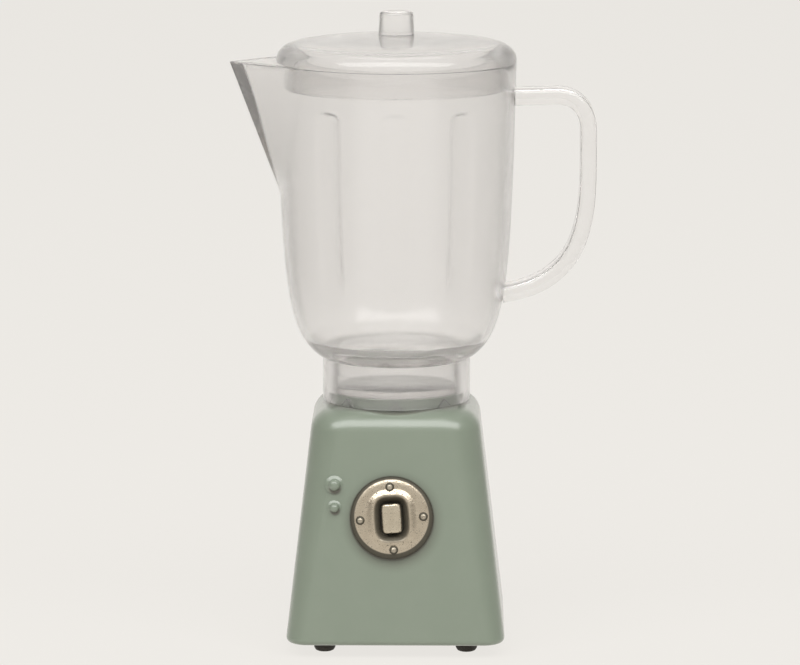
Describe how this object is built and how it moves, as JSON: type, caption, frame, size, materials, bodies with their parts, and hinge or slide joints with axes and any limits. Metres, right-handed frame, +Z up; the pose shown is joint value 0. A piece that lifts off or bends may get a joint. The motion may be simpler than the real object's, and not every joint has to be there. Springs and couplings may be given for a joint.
{
  "type": "toy blender",
  "caption": "Miniature toy blender: clear jug with spout, loop handle and lift-off lid, on a tapered painted base with rubber feet and a round nickel switch plate with a push button.",
  "frame": {"origin": "on the upright axis of base and jug, in the plane that the four feet stand on", "axes": "+Z up, -Y out of the switch face, -X along the spout, +X along the handle"},
  "size_m": [0.0485, 0.0318, 0.0841],
  "materials": {
    "sage_paint": "satin sage green enamel",
    "antique_nickel": "antique nickel, worn, dark in the recesses",
    "black_rubber": "soft, matt",
    "black_plastic": "moulded, matt",
    "plated_steel": "zinc plated",
    "clear_plastic": "clear moulded acrylic, polished"
  },
  "bodies": {
    "base": {"base_housing": "sage_paint", "base_plate": "black_plastic", "base_plate_screws": "plated_steel", "foot_front_left": "black_rubber", "foot_front_right": "black_rubber", "foot_rear_left": "black_rubber", "foot_rear_right": "black_rubber", "jug_seat": "sage_paint", "seat_screw": "plated_steel", "switch_plate": "antique_nickel", "plate_rivets": "antique_nickel", "button_guide": "black_plastic", "button_spring": "plated_steel", "upper_stud": "sage_paint", "lower_stud": "sage_paint", "stud_clips": "plated_steel"},
    "button": {"switch_button": "antique_nickel"},
    "jug": {"jug": "clear_plastic", "collar_disc": "clear_plastic", "jug_handle": "clear_plastic"},
    "lid": {"lid": "clear_plastic", "lid_knob": "clear_plastic"}
  },
  "joints": [
    {"name": "button_press", "type": "slide", "parent": "base", "child": "button", "axis": [0, 0.9932, -0.1168], "range_m": [0, 0.0007], "stiffness_N_per_m": 300, "deforming": ["button_spring"]},
    {"name": "jug_lift", "type": "slide", "parent": "base", "child": "jug", "axis": [0, 0, 1], "range_m": [0, 0.02]},
    {"name": "lid_lift", "type": "slide", "parent": "jug", "child": "lid", "axis": [0, 0, 1], "range_m": [0, 0.02]}
  ]
}
